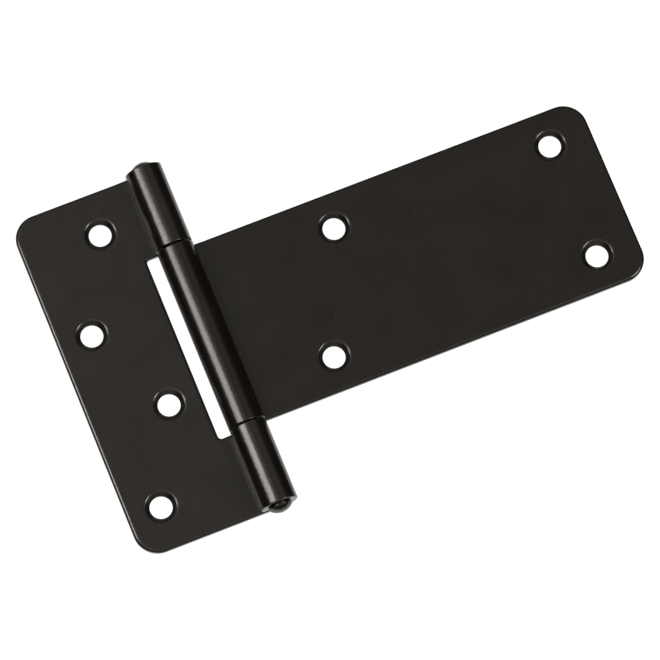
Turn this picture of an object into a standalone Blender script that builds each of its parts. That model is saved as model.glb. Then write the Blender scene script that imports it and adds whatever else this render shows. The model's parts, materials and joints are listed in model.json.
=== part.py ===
"""A rolled steel T hinge, in metres.

A short plate leaf and a long strap leaf are punched from sheet, and their knuckles are rolled round one
captive pin. The origin is on the back of the plate leaf, at the centre of its four screw holes. +X runs along
the strap, +Y along the pin, and +Z comes out of the front faces, where the screws go in.
"""

import math

import bmesh
import bpy

# The sheet with its coat, the pin, and the barrel that the sheet makes round it.
SHEET = 0.0021
PIN_RADIUS = 0.0030
RUNNING_CLEARANCE = 0.00008
BORE_RADIUS = PIN_RADIUS + RUNNING_CLEARANCE
BARREL_RADIUS = BORE_RADIUS + SHEET
CURL_SWEEP = math.radians(305)

# The plate leaf. The X distances are from the pin's axis.
PLATE_HEIGHT = 0.1005
PLATE_REACH = 0.0394
SLOT_REACH = 0.0082
SLOT_CORNER_RADIUS = 0.0010
CORNER_RADIUS = 0.0068
PLATE_COLUMN_NEAR = 0.0172
PLATE_COLUMN_FAR = 0.0296
PLATE_ROW_PITCH = 0.0256

# The strap leaf. The knuckle is as wide as the strap, and it has some end play between the plate's knuckles.
STRAP_WIDTH = 0.0531
STRAP_REACH = 0.1188
STRAP_ROW_PITCH = 0.0336
STRAP_END_COLUMN = 0.1067
STRAP_UPPER_COLUMN = 0.0428
STRAP_LOWER_COLUMN = 0.0293
KNUCKLE_GAP_PLUS_Y = 0.00045
KNUCKLE_GAP_MINUS_Y = 0.0003

# The countersunk screw holes, all alike.
HOLE_RADIUS = 0.0031
COUNTERSINK_RADIUS = 0.0043
COUNTERSINK_DEPTH = COUNTERSINK_RADIUS - HOLE_RADIUS

# The pin's heads. The pin has some end play, and it lies towards +Y.
HEAD_RADIUS = 0.00345
HEAD_RIM = 0.0002
HEAD_DOME = 0.00155
HEAD_GAP_PLUS_Y = 0.0003
HEAD_GAP_MINUS_Y = 0.00045

BARREL_SEGMENTS = 64
HOLE_SEGMENTS = 48
DOME_SEGMENTS = 8
CORNER_SEGMENTS = 10
CUTTER_MARGIN = 0.0050
WELD_DISTANCE = 1e-7
SMOOTH_ANGLE = math.radians(30)

# Every object's origin is on the pin's axis. From there the sheets' faces are at these heights.
BACK = -BARREL_RADIUS
FRONT = -BORE_RADIUS
PIN_AXIS = ((PLATE_COLUMN_NEAR + PLATE_COLUMN_FAR) / 2, 0.0, BARREL_RADIUS)


def clear_scene():
    for obj in list(bpy.data.objects):
        bpy.data.objects.remove(obj, do_unlink=True)


def coat(name, color, roughness):
    material = bpy.data.materials.new(name)
    material.use_nodes = True
    shader = material.node_tree.nodes["Principled BSDF"]
    shader.inputs["Base Color"].default_value = (*color, 1.0)
    shader.inputs["Metallic"].default_value = 0.0
    shader.inputs["Roughness"].default_value = roughness
    return material


def add_object(name, bm):
    """A new object on the pin's axis that holds the bmesh."""
    bmesh.ops.remove_doubles(bm, verts=bm.verts, dist=WELD_DISTANCE)
    bmesh.ops.recalc_face_normals(bm, faces=bm.faces)
    mesh = bpy.data.meshes.new(name)
    bm.to_mesh(mesh)
    bm.free()
    obj = bpy.data.objects.new(name, mesh)
    obj.location = PIN_AXIS
    bpy.context.scene.collection.objects.link(obj)
    return obj


def add_cutter(name, bm):
    cutter = add_object(name, bm)
    cutter.hide_render = True
    cutter.display_type = "WIRE"
    return cutter


def cut(obj, cutter, operation):
    modifier = obj.modifiers.new(cutter.name, "BOOLEAN")
    modifier.operation = operation
    modifier.solver = "EXACT"
    modifier.object = cutter


def shade_round(obj):
    obj.data.shade_smooth()
    obj.data.set_sharp_from_angle(angle=SMOOTH_ANGLE)


def leaf_section(side, reach):
    """The leaf's outline in XZ: a flat that runs to side * reach, and its curl under, round and over the bore."""
    steps = round(BARREL_SEGMENTS * CURL_SWEEP / math.tau)
    angles = [-math.pi / 2 - CURL_SWEEP * step / steps for step in range(steps + 1)]
    outer = [(BARREL_RADIUS * math.cos(a), BARREL_RADIUS * math.sin(a)) for a in angles]
    inner = [(BORE_RADIUS * math.cos(a), BORE_RADIUS * math.sin(a)) for a in reversed(angles)]
    section = [(reach, BACK), *outer, *inner, (reach, FRONT)]
    return [(side * x, z) for x, z in section]


def extruded_leaf(side, reach, width):
    """The section drawn out along Y past the leaf's width, for the outline to trim."""
    bm = bmesh.new()
    start = -width / 2 - CUTTER_MARGIN
    verts = [bm.verts.new((x, start, z)) for x, z in leaf_section(side, reach + CUTTER_MARGIN)]
    face = bm.faces.new(verts)
    drawn = bmesh.ops.extrude_face_region(bm, geom=[face])
    moved = [item for item in drawn["geom"] if isinstance(item, bmesh.types.BMVert)]
    bmesh.ops.translate(bm, verts=moved, vec=(0.0, -2 * start, 0.0))
    return bm


def round_ended_block(side, reach, other_reach, width, radius):
    """A block that is taller than the hinge, with round corners at side * reach."""
    bm = bmesh.new()
    bmesh.ops.create_cube(bm, size=1.0)
    height = 2 * (BARREL_RADIUS + CUTTER_MARGIN)
    bmesh.ops.scale(bm, verts=bm.verts, vec=(reach + other_reach, width, height))
    bmesh.ops.translate(bm, verts=bm.verts, vec=(side * (reach - other_reach) / 2, 0.0, 0.0))
    corners = [
        edge
        for edge in bm.edges
        if abs(edge.verts[0].co.z - edge.verts[1].co.z) > height / 2 and side * edge.verts[0].co.x > 0
    ]
    bmesh.ops.bevel(
        bm,
        geom=corners,
        offset=radius,
        offset_type="OFFSET",
        segments=CORNER_SEGMENTS,
        profile=0.5,
        affect="EDGES",
    )
    return bm


def turn(bm, profile, axis, cent, steps):
    """Adds the solid that the profile's open line sweeps in a full turn about the axis."""
    verts = [bm.verts.new(point) for point in profile]
    edges = [bm.edges.new(pair) for pair in zip(verts, verts[1:])]
    bmesh.ops.spin(
        bm,
        geom=verts + edges,
        cent=cent,
        axis=axis,
        angle=math.tau,
        steps=steps,
        use_merge=True,
    )


def screw_holes(holes):
    """One through hole for each (x, y), with a 90 degree countersink from the front."""
    top = FRONT + CUTTER_MARGIN
    bottom = BACK - CUTTER_MARGIN
    profile = [
        (0.0, bottom),
        (HOLE_RADIUS, bottom),
        (HOLE_RADIUS, FRONT - COUNTERSINK_DEPTH),
        (COUNTERSINK_RADIUS + CUTTER_MARGIN, top),
        (0.0, top),
    ]
    bm = bmesh.new()
    for x, y in holes:
        turn(bm, [(x + r, y, z) for r, z in profile], (0, 0, 1), (x, y, 0), HOLE_SEGMENTS)
    return bm


def plate_holes():
    """Two staggered columns: from the +Y end, near, far, near, far."""
    columns = (PLATE_COLUMN_NEAR, PLATE_COLUMN_FAR)
    return [(-columns[row % 2], (1.5 - row) * PLATE_ROW_PITCH) for row in range(4)]


def strap_holes():
    """Two side by side near the free end, and two staggered ones nearer the pin."""
    row = STRAP_ROW_PITCH / 2
    return [
        (STRAP_UPPER_COLUMN, row),
        (STRAP_LOWER_COLUMN, -row),
        (STRAP_END_COLUMN, row),
        (STRAP_END_COLUMN, -row),
    ]


def make_leaf(name, side, reach, width, holes, material):
    leaf = add_object(name, extruded_leaf(side, reach, width))
    leaf.data.materials.append(material)
    barrel_side = BARREL_RADIUS + CUTTER_MARGIN
    outline = round_ended_block(side, reach, barrel_side, width, CORNER_RADIUS)
    cut(leaf, add_cutter(name + "_outline", outline), "INTERSECT")
    cut(leaf, add_cutter(name + "_holes", screw_holes(holes)), "DIFFERENCE")
    shade_round(leaf)
    return leaf


def make_plate_leaf():
    material = coat("plate_coat", (0.018, 0.017, 0.016), 0.34)
    plate = make_leaf("plate_leaf", -1, PLATE_REACH, PLATE_HEIGHT, plate_holes(), material)
    slot_width = STRAP_WIDTH + KNUCKLE_GAP_PLUS_Y + KNUCKLE_GAP_MINUS_Y
    slot = round_ended_block(-1, SLOT_REACH, BARREL_RADIUS + CUTTER_MARGIN, slot_width, SLOT_CORNER_RADIUS)
    slot_centre = (KNUCKLE_GAP_PLUS_Y - KNUCKLE_GAP_MINUS_Y) / 2
    bmesh.ops.translate(slot, verts=slot.verts, vec=(0.0, slot_centre, 0.0))
    cut(plate, add_cutter("plate_leaf_slot", slot), "DIFFERENCE")


def make_strap_leaf():
    material = coat("strap_coat", (0.018, 0.017, 0.016), 0.34)
    make_leaf("strap_leaf", 1, STRAP_REACH, STRAP_WIDTH, strap_holes(), material)


def head_profile(seat, outward):
    """A head's half outline from its seat to its pole, as (radius, y). outward is +1 or -1 along Y."""
    sphere = (HEAD_RADIUS**2 + HEAD_DOME**2) / (2 * HEAD_DOME)
    rim_angle = math.asin(HEAD_RADIUS / sphere)
    pole = HEAD_RIM + HEAD_DOME
    points = [(PIN_RADIUS, 0.0), (HEAD_RADIUS, 0.0)]
    for step in range(DOME_SEGMENTS + 1):
        angle = rim_angle * (1 - step / DOME_SEGMENTS)
        points.append((sphere * math.sin(angle), pole - sphere * (1 - math.cos(angle))))
    return [(radius, seat + outward * rise) for radius, rise in points]


def make_hinge_pin():
    upper = head_profile(PLATE_HEIGHT / 2 + HEAD_GAP_PLUS_Y, 1)
    lower = head_profile(-PLATE_HEIGHT / 2 - HEAD_GAP_MINUS_Y, -1)
    bm = bmesh.new()
    outline = [(radius, y, 0.0) for radius, y in lower[::-1] + upper]
    turn(bm, outline, (0, 1, 0), (0, 0, 0), BARREL_SEGMENTS)
    pin = add_object("hinge_pin", bm)
    pin.data.materials.append(coat("pin_coat", (0.016, 0.015, 0.014), 0.30))
    shade_round(pin)


clear_scene()
make_plate_leaf()
make_strap_leaf()
make_hinge_pin()
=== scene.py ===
"""The looks of a black powder-coated T hinge, in metres.

Each leaf is made the way the factory makes it: a flat blank is punched out, with its die roll and its
countersunk holes, and then the knuckles are rolled up round the pin. The pin is turned.
"""

import json
import math

import bmesh
import bpy
from mathutils import Matrix, Vector, geometry


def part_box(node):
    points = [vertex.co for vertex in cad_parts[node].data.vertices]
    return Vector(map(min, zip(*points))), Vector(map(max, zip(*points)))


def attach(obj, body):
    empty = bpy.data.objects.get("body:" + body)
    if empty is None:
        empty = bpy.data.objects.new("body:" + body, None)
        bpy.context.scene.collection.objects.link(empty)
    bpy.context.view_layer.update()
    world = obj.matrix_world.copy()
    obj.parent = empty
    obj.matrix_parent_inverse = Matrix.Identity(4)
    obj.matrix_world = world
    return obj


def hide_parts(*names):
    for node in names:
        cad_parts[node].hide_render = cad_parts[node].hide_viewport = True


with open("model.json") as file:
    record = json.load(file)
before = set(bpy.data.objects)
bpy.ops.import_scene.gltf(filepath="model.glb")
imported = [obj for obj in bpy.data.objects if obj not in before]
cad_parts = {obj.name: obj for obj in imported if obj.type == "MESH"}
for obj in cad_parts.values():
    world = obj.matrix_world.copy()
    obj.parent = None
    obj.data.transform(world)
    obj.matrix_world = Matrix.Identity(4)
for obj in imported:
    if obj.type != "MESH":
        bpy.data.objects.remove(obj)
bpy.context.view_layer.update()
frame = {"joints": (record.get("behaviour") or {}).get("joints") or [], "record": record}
PLATE_LOW, PLATE_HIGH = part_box("plate_leaf")
STRAP_LOW, STRAP_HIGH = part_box("strap_leaf")
PIN_LOW, PIN_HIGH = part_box("hinge_pin")
PIN_X, _, PIN_Z = frame["joints"][0]["pos_m"]
OPENINGS = frame["record"]["physics"]["openings"]

# The sheet and the barrel. The leaves' backs are at z = 0, so the pin's height is the barrel's radius.
SHEET = 0.0021
BARREL_RADIUS = PIN_Z
NEUTRAL_RADIUS = BARREL_RADIUS - SHEET / 2
CURL_SWEEP = math.radians(305)
CURL_LENGTH = CURL_SWEEP * NEUTRAL_RADIUS
CURL_STEPS = 122

# The blanks' outlines.
CORNER_RADIUS = 0.0068
CURL_CORNER_RADIUS = 0.0008
SLOT_CORNER_RADIUS = 0.0010
SLOT_REACH = 0.0082
KNUCKLE_GAP_PLUS_Y = 0.00045
KNUCKLE_GAP_MINUS_Y = 0.0003
OUTLINE_PITCH = 0.0010
CORNER_STEPS = 24
SMALL_CORNER_STEPS = 10

# The punched edges: an elliptic die roll (width, depth) on the front and a small round on the back. They
# change along the flat, just before the knuckle.
FLAT_ROLL = (0.00095, 0.0009)
FLAT_BACK_ROUND = 0.0003
KNUCKLE_ROLL = (0.0006, 0.0004)
KNUCKLE_BACK_ROUND = 0.00025
ROLL_CHANGE = (-0.0085, -0.0035)
SUPPORT = 1.2
ROLL_STEPS = 8
BACK_STEPS = 5

# The countersunk holes.
HOLE_RADIUS = 0.0031
COUNTERSINK_RADIUS = 0.0043
RIM_ROUND = 0.0012
LIP_ROUND = 0.00015
HOLE_SEGMENTS = 96

# The pin. Its heads' radius and ends are the CAD's.
SHAFT_RADIUS = 0.0030
HEAD_RADIUS = (PIN_HIGH.x - PIN_LOW.x) / 2
HEAD_RIM = 0.0002
HEAD_DOME = 0.00155
HEAD_ROUND = 0.0002
SEAT_ROUND = 0.00008
PIN_SEGMENTS = 128

WELD_DISTANCE = 1e-8
ON_LINE = 1e-7
SMOOTH_ANGLE = math.radians(35)

# The powder coat. Each noise is (scale, detail), and each range is in its noise's own values.
MOTTLE_NOISE = (90.0, 4.0)
WEAR_NOISE = (260.0, 3.0)
PEEL_NOISE = (650.0, 1.0)
SPECK_NOISE = (1500.0, 2.0)
GRAIN_NOISE = (2600.0, 2.0)
MOTTLE_RANGE = (0.3, 0.7)
WEAR_RANGE = (0.48, 0.66)
SPECK_RANGE = (0.66, 0.74)
DEEP_COAT = (0.0042, 0.0034, 0.0024)
PALE_COAT = (0.0060, 0.0048, 0.0036)
SPECK = (0.016, 0.014, 0.012)
THIN_COAT = (0.0100, 0.0088, 0.0074)
ROUGHNESS = (0.22, 0.265)
PLATE_SPECULAR = 0.50
STRAP_SPECULAR = 0.42
WEAR_POLISH = 0.03
PEEL_DEPTH = 0.00002
GRAIN_DEPTH = 0.000016

# The sockets of a colour Mix node: factor, A and B, and its result.
MIX_INPUTS = (0, 6, 7)
MIX_RESULT = 2

# The camera goes round the point that it looks at.
CAMERA_TARGET = Vector((0.05462, -0.00910, 0.0))
CAMERA_AZIMUTH = math.radians(-27.309)
CAMERA_ELEVATION = math.radians(75.053)
CAMERA_ROLL = math.radians(5.525)
CAMERA_DISTANCE = 1.39005
CAMERA_LENS = 279.07
SENSOR_WIDTH = 36.0

# The floor is low enough for the strap to hang down from the pin.
FLOOR_DROP = 0.12
FLOOR_SIZE = 0.6
FLOOR_GREY = 0.1
FLOOR_ROUGHNESS = 0.9

# The studio's light, all of it warm: a ceiling that darkens along X and recovers at the right, a wall beyond
# +Y and one beyond -Y, and two softboxes of (direction, distance, size, radiance). The edges are straight
# ramps.
PAPER_RADIANCE = 1.02
WARM_LIGHT = (1.0, 0.945, 0.875)
ROOM_RADIANCE = 0.01
CEILING_EDGE = (0.60, 0.75)
CEILING_ACROSS = (-0.05, 0.18)
CEILING_RADIANCE = (0.85, 0.28)
CEILING_RIGHT = (0.20, 0.40)
RIGHT_RADIANCE = 0.20
WALL_EDGE = (0.40, 0.70)
FAR_WALL_RADIANCE = 0.18
NEAR_WALL_RADIANCE = 0.45
HORIZON = (0.0, 0.12)
LEFT_SOFTBOX = ((-0.600, 0.215, 0.755), 1.0, (0.22, 0.60), 12.6)
RIGHT_SOFTBOX = ((0.540, -0.430, 0.73), 1.0, (0.30, 0.45), 13.0)


def smooth_step(low, high, value):
    share = min(max((value - low) / (high - low), 0.0), 1.0)
    return share * share * (3 - 2 * share)


def arc_angles(start, end, steps):
    return [start + (end - start) * step / steps for step in range(steps + 1)]


def between(start, end, pitch):
    """Evenly spaced numbers strictly between start and end."""
    count = max(1, math.ceil(abs(end - start) / pitch))
    return [start + (end - start) * step / count for step in range(1, count)]


# ---- The blanks, flat in U, V and height: U is along the sheet from the line where the curl begins. ----

CURL_LINES = [CURL_LENGTH * step / CURL_STEPS for step in range(CURL_STEPS)]


def straight_points(start, end):
    """The points between two corners. A run along U has one on each line that the curl bends at."""
    if abs(start.x - end.x) < abs(start.y - end.y):
        return [Vector((start.x, v)) for v in between(start.y, end.y, OUTLINE_PITCH)]
    low, high = sorted((start.x, end.x))
    flat = between(low, min(high, 0.0), OUTLINE_PITCH) if low < 0.0 else []
    places = [u for u in flat + CURL_LINES if low + ON_LINE < u < high - ON_LINE]
    if start.x > end.x:
        places.reverse()
    return [Vector((u, start.y)) for u in places]


def rounded_corner(before, corner, after, radius):
    """The points and outward normals of a right-angled corner's arc, on an anticlockwise outline."""
    into = (corner - before).normalized()
    out = (after - corner).normalized()
    turn = 1 if into.cross(out) > 0 else -1
    centre = corner + (out - into) * radius
    first_normal = Vector((into.y, -into.x))
    steps = CORNER_STEPS if radius == CORNER_RADIUS else SMALL_CORNER_STEPS
    arc = []
    for angle in arc_angles(0.0, turn * math.pi / 2, steps):
        normal = Matrix.Rotation(angle, 2) @ first_normal
        arc.append((centre + normal * turn * radius, normal))
    return arc


def outline(corners):
    """Points and outward normals round an outline, from its corners (u, v, radius)."""
    places = [Vector((u, v)) for u, v, _ in corners]
    arcs = []
    for index, (_, _, radius) in enumerate(corners):
        following = places[(index + 1) % len(places)]
        arcs.append(rounded_corner(places[index - 1], places[index], following, radius))
    points = []
    for arc, following in zip(arcs, arcs[1:] + arcs[:1]):
        points += arc
        points += [(point, arc[-1][1]) for point in straight_points(arc[-1][0], following[0][0])]
    return points


def edge_profile(u):
    """(inset, height, edge) of each ring, from the front round to the back. edge is 1 on the bare edge."""
    share = smooth_step(*ROLL_CHANGE, u)
    width = FLAT_ROLL[0] + (KNUCKLE_ROLL[0] - FLAT_ROLL[0]) * share
    depth = FLAT_ROLL[1] + (KNUCKLE_ROLL[1] - FLAT_ROLL[1]) * share
    back = FLAT_BACK_ROUND + (KNUCKLE_BACK_ROUND - FLAT_BACK_ROUND) * share
    rings = [(width * SUPPORT, SHEET, 0.0)]
    for a in arc_angles(0.0, math.pi / 2, ROLL_STEPS):
        rings.append((width * (1 - math.sin(a)), SHEET - depth * (1 - math.cos(a)), math.sin(a)))
    for a in arc_angles(0.0, math.pi / 2, BACK_STEPS):
        rings.append((back * (1 - math.cos(a)), back * (1 - math.sin(a)), math.cos(a)))
    rings.append((back * SUPPORT, 0.0, 0.0))
    return rings


def hole_profile():
    """(radius, height, edge) of each ring of a countersunk hole, from the front to the back."""
    eighth = math.pi / 4
    rim = COUNTERSINK_RADIUS + RIM_ROUND * math.tan(eighth / 2)
    lip_height = SHEET - (COUNTERSINK_RADIUS - HOLE_RADIUS) - LIP_ROUND * math.tan(eighth / 2)
    rings = [(rim + RIM_ROUND * (SUPPORT - 1), SHEET, 0.0)]
    for a in arc_angles(0.0, eighth, ROLL_STEPS):
        height = SHEET - RIM_ROUND * (1 - math.cos(a))
        rings.append((rim - RIM_ROUND * math.sin(a), height, math.sin(2 * a)))
    for a in arc_angles(eighth, 0.0, BACK_STEPS):
        radius = HOLE_RADIUS + LIP_ROUND * (1 - math.cos(a))
        rings.append((radius, lip_height + LIP_ROUND * math.sin(a), 1.0))
    for a in arc_angles(0.0, math.pi / 2, BACK_STEPS):
        radius = HOLE_RADIUS + FLAT_BACK_ROUND * (1 - math.cos(a))
        rings.append((radius, FLAT_BACK_ROUND * (1 - math.sin(a)), math.cos(a)))
    rings.append((HOLE_RADIUS + FLAT_BACK_ROUND * (1 + SUPPORT), 0.0, 0.0))
    return rings


def add_rings(bm, edge_layer, rings):
    """Joins closed rings of ((x, y, z), edge) one to the next, and returns the first and last as vertices."""
    loops = []
    for ring in rings:
        loop = [bm.verts.new(place) for place, _ in ring]
        for vert, (_, edge) in zip(loop, ring):
            vert[edge_layer] = edge
        loops.append(loop)
    for upper, lower in zip(loops, loops[1:]):
        for index in range(len(upper)):
            bm.faces.new((upper[index - 1], upper[index], lower[index], lower[index - 1]))
    return loops[0], loops[-1]


def outline_rings(corners):
    points = outline(corners)
    profiles = [edge_profile(point.x) for point, _ in points]
    rings = []
    for level in range(len(profiles[0])):
        ring = []
        for (point, normal), profile in zip(points, profiles):
            inset, height, edge = profile[level]
            ring.append(((*(point - normal * inset), height), edge))
        rings.append(ring)
    return rings


def hole_rings(centre):
    turns = [math.tau * step / HOLE_SEGMENTS for step in range(HOLE_SEGMENTS)]
    return [
        [((centre.x + r * math.cos(a), centre.y + r * math.sin(a), height), edge) for a in turns]
        for r, height, edge in hole_profile()
    ]


def fill_face(bm, loops):
    """Triangles over a flat face, inside its first loop and outside the others, which are convex."""
    verts = [(vert, number) for number, loop in enumerate(loops) for vert in loop]
    edges = []
    start = 0
    for loop in loops:
        edges += [(start + index, start + (index + 1) % len(loop)) for index in range(len(loop))]
        start += len(loop)
    filled = geometry.delaunay_2d_cdt([vert.co.xy for vert, _ in verts], edges, [], 1, WELD_DISTANCE)
    sources = [verts[origin[0]] for origin in filled[3]]
    for triangle in filled[2]:
        corners = [sources[index] for index in triangle]
        in_loops = {number for _, number in corners}
        if len(in_loops) > 1 or in_loops == {0}:
            bm.faces.new([vert for vert, _ in corners])


def roll_up(bm, side):
    """Curls everything past U = 0 round the pin, and puts the leaf on its side of it."""
    for vert in bm.verts:
        u, v, height = vert.co
        along, up = u, height
        if u > 0.0:
            radius = BARREL_RADIUS - height
            along = radius * math.sin(u / NEUTRAL_RADIUS)
            up = PIN_Z - radius * math.cos(u / NEUTRAL_RADIUS)
        vert.co = (PIN_X - side * along, v, up)


def hole_centres(leaf, side):
    """The centres of a leaf's screw holes in its blank."""
    centres = []
    for opening in OPENINGS:
        if opening["name"].startswith(leaf):
            low, high = opening["box_m"]
            centres.append(Vector((side * (PIN_X - (low[0] + high[0]) / 2), (low[1] + high[1]) / 2)))
    return centres


def finished_piece(name, bm, material, body, node):
    bmesh.ops.remove_doubles(bm, verts=bm.verts, dist=WELD_DISTANCE)
    bmesh.ops.recalc_face_normals(bm, faces=bm.faces)
    mesh = bpy.data.meshes.new(name)
    bm.to_mesh(mesh)
    bm.free()
    mesh.shade_smooth()
    mesh.set_sharp_from_angle(angle=SMOOTH_ANGLE)
    mesh.materials.append(material)
    piece = bpy.data.objects.new(name, mesh)
    bpy.context.scene.collection.objects.link(piece)
    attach(piece, body)
    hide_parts(node)
    return piece


def make_leaf(leaf, side, corners, material):
    bm = bmesh.new()
    edge_layer = bm.verts.layers.float.new("edge")
    bands = [add_rings(bm, edge_layer, outline_rings(corners))]
    bands += [add_rings(bm, edge_layer, hole_rings(centre)) for centre in hole_centres(leaf, side)]
    fill_face(bm, [front for front, _ in bands])
    fill_face(bm, [back for _, back in bands])
    for u in CURL_LINES:
        everything = bm.verts[:] + bm.edges[:] + bm.faces[:]
        bmesh.ops.bisect_plane(bm, geom=everything, dist=ON_LINE, plane_co=(u, 0, 0), plane_no=(1, 0, 0))
    roll_up(bm, side)
    return finished_piece(leaf + "_leaf_coated", bm, material, leaf, leaf + "_leaf")


def make_plate_leaf():
    reach = PLATE_LOW.x - PIN_X
    end = PLATE_HIGH.y
    upper = STRAP_HIGH.y + KNUCKLE_GAP_PLUS_Y
    lower = STRAP_LOW.y - KNUCKLE_GAP_MINUS_Y
    corners = [
        (reach, -end, CORNER_RADIUS),
        (CURL_LENGTH, -end, CURL_CORNER_RADIUS),
        (CURL_LENGTH, lower, CURL_CORNER_RADIUS),
        (-SLOT_REACH, lower, SLOT_CORNER_RADIUS),
        (-SLOT_REACH, upper, SLOT_CORNER_RADIUS),
        (CURL_LENGTH, upper, CURL_CORNER_RADIUS),
        (CURL_LENGTH, end, CURL_CORNER_RADIUS),
        (reach, end, CORNER_RADIUS),
    ]
    return make_leaf("plate", -1, corners, powder_coat("plate_powder_coat", PLATE_SPECULAR))


def make_strap_leaf():
    reach = PIN_X - STRAP_HIGH.x
    half = STRAP_HIGH.y
    corners = [
        (reach, -half, CORNER_RADIUS),
        (CURL_LENGTH, -half, CURL_CORNER_RADIUS),
        (CURL_LENGTH, half, CURL_CORNER_RADIUS),
        (reach, half, CORNER_RADIUS),
    ]
    return make_leaf("strap", 1, corners, powder_coat("strap_powder_coat", STRAP_SPECULAR))


# ---- The pin ----


def head_outline():
    """(radius, rise, edge) from a head's seat to its pole: a rounded rim under a shallow dome."""
    pole = HEAD_RIM + HEAD_DOME
    sphere = (HEAD_RADIUS**2 + HEAD_DOME**2) / (2 * HEAD_DOME)
    across = HEAD_RADIUS - HEAD_ROUND
    up = math.sqrt((sphere - HEAD_ROUND) ** 2 - across**2)
    rim_angle = math.atan2(up, across)
    points = [(SHAFT_RADIUS, 0.0, 0.0)]
    for a in arc_angles(-math.pi / 2, 0.0, BACK_STEPS):
        points.append((HEAD_RADIUS - SEAT_ROUND * (1 - math.cos(a)), SEAT_ROUND * (1 + math.sin(a)), 1.0))
    for a in arc_angles(0.0, rim_angle, ROLL_STEPS):
        rise = pole - sphere + up + HEAD_ROUND * math.sin(a)
        points.append((across + HEAD_ROUND * math.cos(a), rise, math.cos(a)))
    for a in arc_angles(rim_angle, math.pi / 2, ROLL_STEPS)[1:-1]:
        points.append((sphere * math.cos(a), pole - sphere * (1 - math.sin(a)), 0.0))
    return points


def make_pin():
    bm = bmesh.new()
    edge_layer = bm.verts.layers.float.new("edge")
    seat = HEAD_RIM + HEAD_DOME
    lower = [(r, PIN_LOW.y + seat - rise, edge) for r, rise, edge in reversed(head_outline())]
    upper = [(r, PIN_HIGH.y - seat + rise, edge) for r, rise, edge in head_outline()]
    turns = [math.tau * step / PIN_SEGMENTS for step in range(PIN_SEGMENTS)]
    rings = [
        [((PIN_X + r * math.sin(a), y, PIN_Z + r * math.cos(a)), edge) for a in turns]
        for r, y, edge in lower + upper
    ]
    for loop, y in zip(add_rings(bm, edge_layer, rings), (PIN_LOW.y, PIN_HIGH.y)):
        pole = bm.verts.new((PIN_X, y, PIN_Z))
        for index in range(PIN_SEGMENTS):
            bm.faces.new((loop[index - 1], loop[index], pole))
    material = powder_coat("pin_powder_coat", PLATE_SPECULAR)
    return finished_piece("hinge_pin_coated", bm, material, "plate", "hinge_pin")


# ---- The powder coat ----


def node(tree, kind, inputs=(), **settings):
    """A new node with its settings, and with each input set to a value or linked to a socket."""
    made = tree.nodes.new(kind)
    for name, value in settings.items():
        setattr(made, name, value)
    for name, value in dict(inputs).items():
        if isinstance(value, bpy.types.NodeSocket):
            tree.links.new(value, made.inputs[name])
        else:
            made.inputs[name].default_value = value
    return made


def noise(tree, vector, kind):
    scale, detail = kind
    made = node(tree, "ShaderNodeTexNoise", {"Vector": vector, "Scale": scale, "Detail": detail})
    return made.outputs["Fac"]


def ranged(tree, value, low, high, to_low, to_high):
    inputs = {"Value": value, "From Min": low, "From Max": high, "To Min": to_low, "To Max": to_high}
    return node(tree, "ShaderNodeMapRange", inputs).outputs["Result"]


def mixed(tree, factor, low, high):
    """A colour that goes from low to high, each one a colour or a socket."""
    made = tree.nodes.new("ShaderNodeMix")
    made.data_type = "RGBA"
    for index, value in zip(MIX_INPUTS, (factor, low, high)):
        socket = made.inputs[index]
        if isinstance(value, bpy.types.NodeSocket):
            tree.links.new(value, socket)
        else:
            socket.default_value = (*value, 1.0)
    return made.outputs[MIX_RESULT]


def powder_coat(name, specular):
    """Satin black, with an orange peel, a fine grain, a faint mottle, specks and thinner, smoother edges."""
    material = bpy.data.materials.new(name)
    material.use_nodes = True
    tree = material.node_tree
    shader = tree.nodes["Principled BSDF"]
    place = node(tree, "ShaderNodeTexCoord").outputs["Object"]
    edge = node(tree, "ShaderNodeAttribute", attribute_name="edge").outputs["Fac"]
    mottle = noise(tree, place, MOTTLE_NOISE)
    peel = noise(tree, place, PEEL_NOISE)
    grain = noise(tree, place, GRAIN_NOISE)
    patches = ranged(tree, noise(tree, place, WEAR_NOISE), *WEAR_RANGE, 0.0, 1.0)
    wear = node(tree, "ShaderNodeMath", {0: edge, 1: patches}, operation="MULTIPLY").outputs["Value"]
    specks = ranged(tree, noise(tree, place, SPECK_NOISE), *SPECK_RANGE, 0.0, 1.0)

    coat = mixed(tree, ranged(tree, mottle, *MOTTLE_RANGE, 0.0, 1.0), DEEP_COAT, PALE_COAT)
    coat = mixed(tree, specks, coat, SPECK)
    coat = mixed(tree, wear, coat, THIN_COAT)
    shader.inputs["Specular IOR Level"].default_value = specular
    tree.links.new(coat, shader.inputs["Base Color"])
    roughness = ranged(tree, mottle, *MOTTLE_RANGE, *ROUGHNESS)
    polish = {0: wear, 1: -WEAR_POLISH, 2: roughness}
    smoother = node(tree, "ShaderNodeMath", polish, operation="MULTIPLY_ADD")
    tree.links.new(smoother.outputs["Value"], shader.inputs["Roughness"])
    fine = node(tree, "ShaderNodeBump", {"Height": grain, "Distance": GRAIN_DEPTH, "Strength": 1.0})
    inputs = {"Height": peel, "Distance": PEEL_DEPTH, "Strength": 1.0, "Normal": fine.outputs["Normal"]}
    coarse = node(tree, "ShaderNodeBump", inputs)
    tree.links.new(coarse.outputs["Normal"], shader.inputs["Normal"])
    return material


# ---- The studio ----


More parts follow.
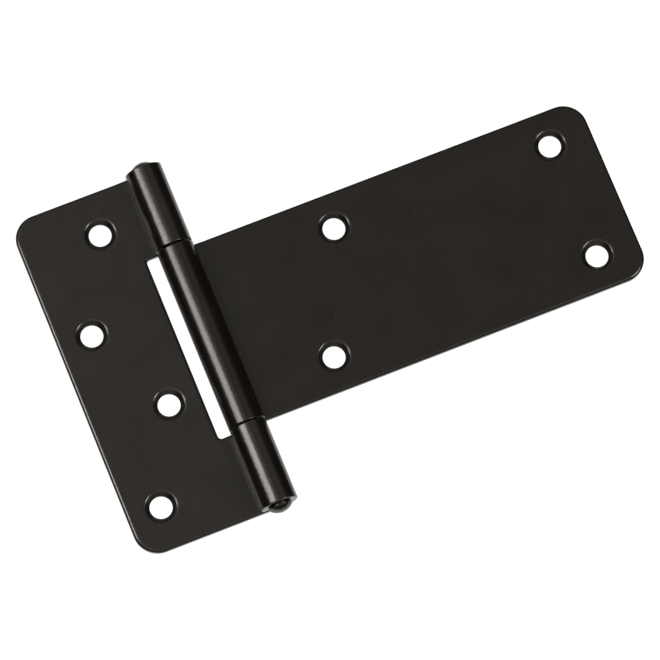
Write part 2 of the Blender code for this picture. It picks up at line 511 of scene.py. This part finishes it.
def make_floor():
    bpy.ops.mesh.primitive_plane_add(size=FLOOR_SIZE, location=(PIN_X, 0.0, -FLOOR_DROP))
    floor = bpy.context.object
    floor.name = "studio_floor"
    paper = bpy.data.materials.new("white_paper")
    paper.use_nodes = True
    shader = paper.node_tree.nodes["Principled BSDF"]
    shader.inputs["Base Color"].default_value = (FLOOR_GREY, FLOOR_GREY, FLOOR_GREY, 1.0)
    shader.inputs["Roughness"].default_value = FLOOR_ROUGHNESS
    shader.inputs["Emission Color"].default_value = (1.0, 1.0, 1.0, 1.0)
    shader.inputs["Emission Strength"].default_value = PAPER_RADIANCE
    floor.data.materials.append(paper)


def make_world():
    """A dim room with a soft ceiling, brighter over the plate. The camera sees white paper instead."""
    world = bpy.data.worlds.new("studio")
    world.use_nodes = True
    tree = world.node_tree
    place = node(tree, "ShaderNodeTexCoord").outputs["Generated"]
    parts = node(tree, "ShaderNodeSeparateXYZ", {"Vector": place}).outputs
    overhead = ranged(tree, parts["Z"], *CEILING_EDGE, ROOM_RADIANCE, 1.0)
    over_plate = ranged(tree, parts["X"], *CEILING_ACROSS, *CEILING_RADIANCE)
    over_right = ranged(tree, parts["X"], *CEILING_RIGHT, 0.0, RIGHT_RADIANCE)
    across = node(tree, "ShaderNodeMath", {0: over_plate, 1: over_right}, operation="ADD").outputs["Value"]
    ceiling = node(tree, "ShaderNodeMath", {0: overhead, 1: across}, operation="MULTIPLY").outputs["Value"]
    near_edge = [-place for place in WALL_EDGE]
    far_wall = ranged(tree, parts["Y"], *WALL_EDGE, 0.0, FAR_WALL_RADIANCE)
    near_wall = ranged(tree, parts["Y"], *near_edge, 0.0, NEAR_WALL_RADIANCE)
    walls = node(tree, "ShaderNodeMath", {0: far_wall, 1: near_wall}, operation="ADD").outputs["Value"]
    above = ranged(tree, parts["Z"], *HORIZON, 0.0, 1.0)
    everything = {0: walls, 1: above, 2: ceiling}
    room = node(tree, "ShaderNodeMath", everything, operation="MULTIPLY_ADD").outputs["Value"]
    background = tree.nodes["Background"]
    background.inputs["Color"].default_value = (*WARM_LIGHT, 1.0)
    tree.links.new(room, background.inputs["Strength"])
    paper = node(tree, "ShaderNodeBackground", {"Color": (1.0, 1.0, 1.0, 1.0), "Strength": PAPER_RADIANCE})
    seen = node(tree, "ShaderNodeLightPath").outputs["Is Camera Ray"]
    lights = {0: seen, 1: background.outputs["Background"], 2: paper.outputs["Background"]}
    either = node(tree, "ShaderNodeMixShader", lights)
    tree.links.new(either.outputs["Shader"], tree.nodes["World Output"].inputs["Surface"])
    bpy.context.scene.world = world


def add_softbox(name, direction, distance, size, radiance):
    """A soft area light that faces the hinge from the given direction."""
    light = bpy.data.lights.new(name, "AREA")
    light.shape = "RECTANGLE"
    light.size, light.size_y = size
    light.energy = radiance * math.pi * size[0] * size[1]
    light.color = WARM_LIGHT
    softbox = bpy.data.objects.new(name, light)
    away = Vector(direction).normalized()
    softbox.location = CAMERA_TARGET + away * distance
    softbox.rotation_mode = "QUATERNION"
    softbox.rotation_quaternion = away.to_track_quat("Z", "Y")
    softbox.visible_camera = False
    bpy.context.scene.collection.objects.link(softbox)


def make_camera():
    level = math.cos(CAMERA_ELEVATION)
    back = Vector(
        (
            math.sin(CAMERA_AZIMUTH) * level,
            -math.cos(CAMERA_AZIMUTH) * level,
            math.sin(CAMERA_ELEVATION),
        )
    )
    camera = bpy.data.objects.new("camera", bpy.data.cameras.new("camera"))
    camera.data.lens = CAMERA_LENS
    camera.data.sensor_width = SENSOR_WIDTH
    camera.location = CAMERA_TARGET + back * CAMERA_DISTANCE
    camera.rotation_mode = "QUATERNION"
    upright = (-back).to_track_quat("-Z", "Y")
    camera.rotation_quaternion = upright @ Matrix.Rotation(CAMERA_ROLL, 3, "Z").to_quaternion()
    bpy.context.scene.collection.objects.link(camera)
    bpy.context.scene.camera = camera


def make_studio():
    make_floor()
    make_world()
    add_softbox("left_softbox", *LEFT_SOFTBOX)
    add_softbox("right_softbox", *RIGHT_SOFTBOX)
    bpy.context.scene.view_settings.view_transform = "Standard"


make_camera()
make_studio()
make_plate_leaf()
make_strap_leaf()
make_pin()
